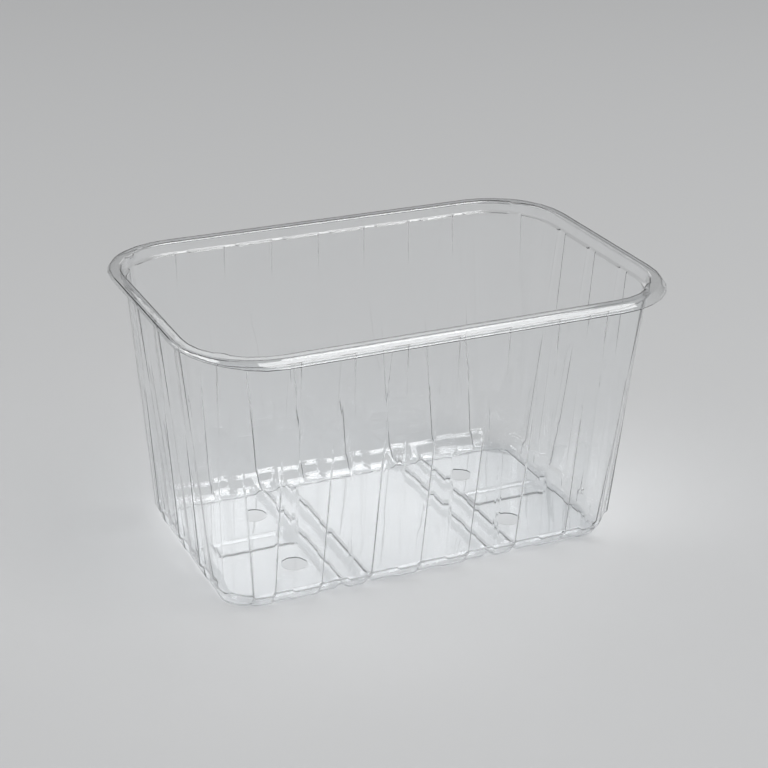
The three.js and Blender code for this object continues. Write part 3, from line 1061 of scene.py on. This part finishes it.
@dataclass(frozen=True)
class ClearPet:
    """Clear, glossy PET sheet with a faint cool tint.

    Attributes:
        tint: What the sheet lets through.
        shade: What it lets through of a lamp's light where it faces the lamp.
        edge_shade: The same where it stands edge on.
        edge_blend: How far from the edge-on places that reaches.
        roughness: How dull its gloss is.
        ior: Its index of refraction.
        scuff_rate: How many scuffs there are to a metre.
        scuff_detail: How many finer layers their noise has.
        scuff_range: The levels of the scuffs' noise between which they come up.
        scuff_dull: How much duller a scuff is.
        ripple_rate: How many drawing ripples there are to a metre.
        ripple_detail: How many finer layers their noise has.
        ripple_height: Their height in metres.
        ripple_strength: How strongly they show.
    """

    tint: Colour = (0.975, 0.981, 0.985, 1.0)
    shade: Colour = (0.93, 0.935, 0.94, 1.0)
    edge_shade: Colour = (0.62, 0.63, 0.64, 1.0)
    edge_blend: float = 0.35
    roughness: float = 0.008
    ior: float = 1.575
    scuff_rate: float = 260.0
    scuff_detail: float = 4.0
    scuff_range: tuple[float, float] = (0.55, 0.8)
    scuff_dull: float = 0.02
    ripple_rate: float = 90.0
    ripple_detail: float = 2.0
    ripple_height: float = 0.0004
    ripple_strength: float = 0.05

    def material(self) -> bpy.types.Material:
        """Makes the finish.

        Returns:
            The material.
        """
        material = bpy.data.materials.new("clear_pet")
        material.use_nodes = True
        tree = Tree(material.node_tree)
        place = tree.node("ShaderNodeTexCoord", output="Object")
        noise = {"Vector": place, "Scale": self.scuff_rate, "Detail": self.scuff_detail}
        low, high = self.scuff_range
        levels = {"Value": tree.node("ShaderNodeTexNoise", noise), "From Min": low, "From Max": high}
        dull = tree.node("ShaderNodeMapRange", levels) * self.scuff_dull + self.roughness
        noise = {"Vector": place, "Scale": self.ripple_rate, "Detail": self.ripple_detail}
        ripples = {
            "Strength": self.ripple_strength, "Distance": self.ripple_height,
            "Height": tree.node("ShaderNodeTexNoise", noise),
        }
        plastic = tree.node(
            "ShaderNodeBsdfPrincipled",
            {
                "Base Color": self.tint, "Roughness": dull, "IOR": self.ior,
                "Transmission Weight": 1.0, "Normal": tree.node("ShaderNodeBump", ripples),
            },
        )
        pale = tree.node("ShaderNodeBsdfTransparent", {"Color": self.shade})
        dark = tree.node("ShaderNodeBsdfTransparent", {"Color": self.edge_shade})
        slope = tree.node("ShaderNodeLayerWeight", {"Blend": self.edge_blend}, output="Facing")
        film = tree.node("ShaderNodeMixShader", {0: slope, 1: pale, 2: dark})
        lamp = tree.node("ShaderNodeLightPath", output="Is Shadow Ray")
        shown = tree.node("ShaderNodeMixShader", {0: lamp, 1: plastic, 2: film})
        tree.node("ShaderNodeOutputMaterial", {"Surface": shown})
        return material


@dataclass(frozen=True)
class PaleGround:
    """Plain matt pale grey.

    Attributes:
        colour: Its colour.
        roughness: How dull it is.
        gloss: How much it mirrors at all.
    """

    colour: Colour = (0.53, 0.535, 0.54, 1.0)
    roughness: float = 0.9
    gloss: float = 0.2

    def material(self) -> bpy.types.Material:
        """Makes the finish.

        Returns:
            The material.
        """
        material = bpy.data.materials.new("pale_ground")
        material.use_nodes = True
        tree = Tree(material.node_tree)
        inputs = {"Base Color": self.colour, "Roughness": self.roughness, "Specular IOR Level": self.gloss}
        ground = tree.node("ShaderNodeBsdfPrincipled", inputs)
        tree.node("ShaderNodeOutputMaterial", {"Surface": ground})
        return material


# The studio


def toward(turn: float, rise: float) -> Vector:
    """Returns the direction at a turn from +X and a rise over the floor, both in degrees."""
    turn, rise = math.radians(turn), math.radians(rise)
    return Vector((math.cos(turn) * math.cos(rise), math.sin(turn) * math.cos(rise), math.sin(rise)))


def facing(turn: float, rise: float) -> Matrix:
    """Returns the axes of a lamp or camera in that direction, which faces the middle and stands upright."""
    back, across = toward(turn, rise), toward(turn + 90, 0)
    return Matrix((across, back.cross(across), back)).transposed()


@dataclass(frozen=True)
class Softbox:
    """An area lamp that faces the punnet.

    Attributes:
        name: Its name.
        turn: Its direction from the punnet, in degrees anticlockwise from +X.
        rise: Its height as an angle over the floor.
        spread: Its width and height over its distance.
        glow: Its brightness, where 1 is as bright as white paper.
        away: Its distance in metres.
    """

    name: str
    turn: float
    rise: float
    spread: tuple[float, float]
    glow: float
    away: float = 3.0

    def place(self, target: Vector) -> None:
        """Adds the lamp.

        Args:
            target: The point that it faces.
        """
        lamp = bpy.data.lights.new(self.name, "AREA")
        lamp.shape = "RECTANGLE"
        lamp.size, lamp.size_y = (share * self.away for share in self.spread)
        lamp.energy = math.pi * self.glow * lamp.size * lamp.size_y
        spot = Matrix.Translation(target + toward(self.turn, self.rise) * self.away)
        added(self.name, lamp).matrix_world = spot @ facing(self.turn, self.rise).to_4x4()


@dataclass(frozen=True)
class Studio:
    """The floor, the lamps, the surroundings and the camera.

    Attributes:
        target: The point that the camera looks at, in millimetres.
        turn: The camera's direction from the punnet, in degrees anticlockwise from +X.
        rise: Its height as an angle over the floor.
        roll: Its roll.
        away: Its distance in millimetres.
        lens: Its focal length in millimetres.
        frame_width: The width of its frame in millimetres.
        seen: The nearest and farthest distances that it shows, in metres.
        ground: Half the length of the floor in metres.
        sky: The strength of the even light all round.
    """

    target: tuple[float, float, float] = (0.452, 0.0, 58.093)
    turn: float = -115.08
    rise: float = 24.19
    roll: float = 0.987
    away: float = 702.74
    lens: float = 87.42
    frame_width: float = 36.0
    seen: tuple[float, float] = (0.01, 50.0)
    ground: float = 4.0
    sky: float = 0.1

    def build(self) -> None:
        """Makes everything round the punnet."""
        self.camera()
        self.floor()
        self.world()
        middle = Vector(self.target) * MM
        for softbox in (
            Softbox("softbox_key", turn=-60.0, rise=47.0, spread=(1.0, 0.7), glow=3.5),
            Softbox("softbox_over", turn=-8.0, rise=69.0, spread=(0.66, 0.28), glow=4.6),
            Softbox("softbox_left", turn=168.0, rise=39.0, spread=(0.75, 0.36), glow=4.0),
            Softbox("panel_back", turn=66.0, rise=28.5, spread=(0.32, 0.2), glow=0.9),
            Softbox("panel_left", turn=139.0, rise=24.0, spread=(0.42, 0.28), glow=1.6),
        ):
            softbox.place(middle)

    def camera(self) -> None:
        """Adds the camera at the photograph's angle."""
        lens = bpy.data.cameras.new("camera")
        lens.lens = self.lens
        lens.sensor_width = self.frame_width
        lens.clip_start, lens.clip_end = self.seen
        camera = added("camera", lens)
        roll = Matrix.Rotation(math.radians(self.roll), 3, "Z")
        camera.matrix_world = (facing(self.turn, self.rise) @ roll).to_4x4()
        camera.location = (Vector(self.target) + toward(self.turn, self.rise) * self.away) * MM
        bpy.context.scene.camera = camera

    def floor(self) -> None:
        """Adds the plain pale floor."""
        half = self.ground
        mesh = bpy.data.meshes.new("floor")
        corners = [(-half, -half, 0), (half, -half, 0), (half, half, 0), (-half, half, 0)]
        mesh.from_pydata(corners, [], [(0, 1, 2, 3)])
        mesh.materials.append(PaleGround().material())
        added("floor", mesh)

    def world(self) -> None:
        """Gives the scene an even pale light from all round."""
        world = bpy.data.worlds.new("studio")
        world.use_nodes = True
        tree = Tree(world.node_tree)
        light = tree.node("ShaderNodeBackground", {"Color": (1, 1, 1, 1), "Strength": self.sky})
        tree.node("ShaderNodeOutputWorld", {"Surface": light})
        bpy.context.scene.world = world


def main() -> None:
    """Builds the punnet and its studio."""
    logging.basicConfig(level=logging.INFO)
    scene = bpy.context.scene
    scene.view_settings.view_transform = "Standard"
    scene.cycles.max_bounces = LIGHT_BOUNCES
    scene.cycles.transmission_bounces = LIGHT_BOUNCES
    scene.cycles.transparent_max_bounces = CLEAR_BOUNCES
    Studio().build()
    sheet = PunnetSheet(ClearPet().material()).build()
    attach(sheet, "root")
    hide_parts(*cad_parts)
    LOG.info("%s: %d faces", sheet.name, len(sheet.data.polygons))


if __name__ == "__main__":
    main()
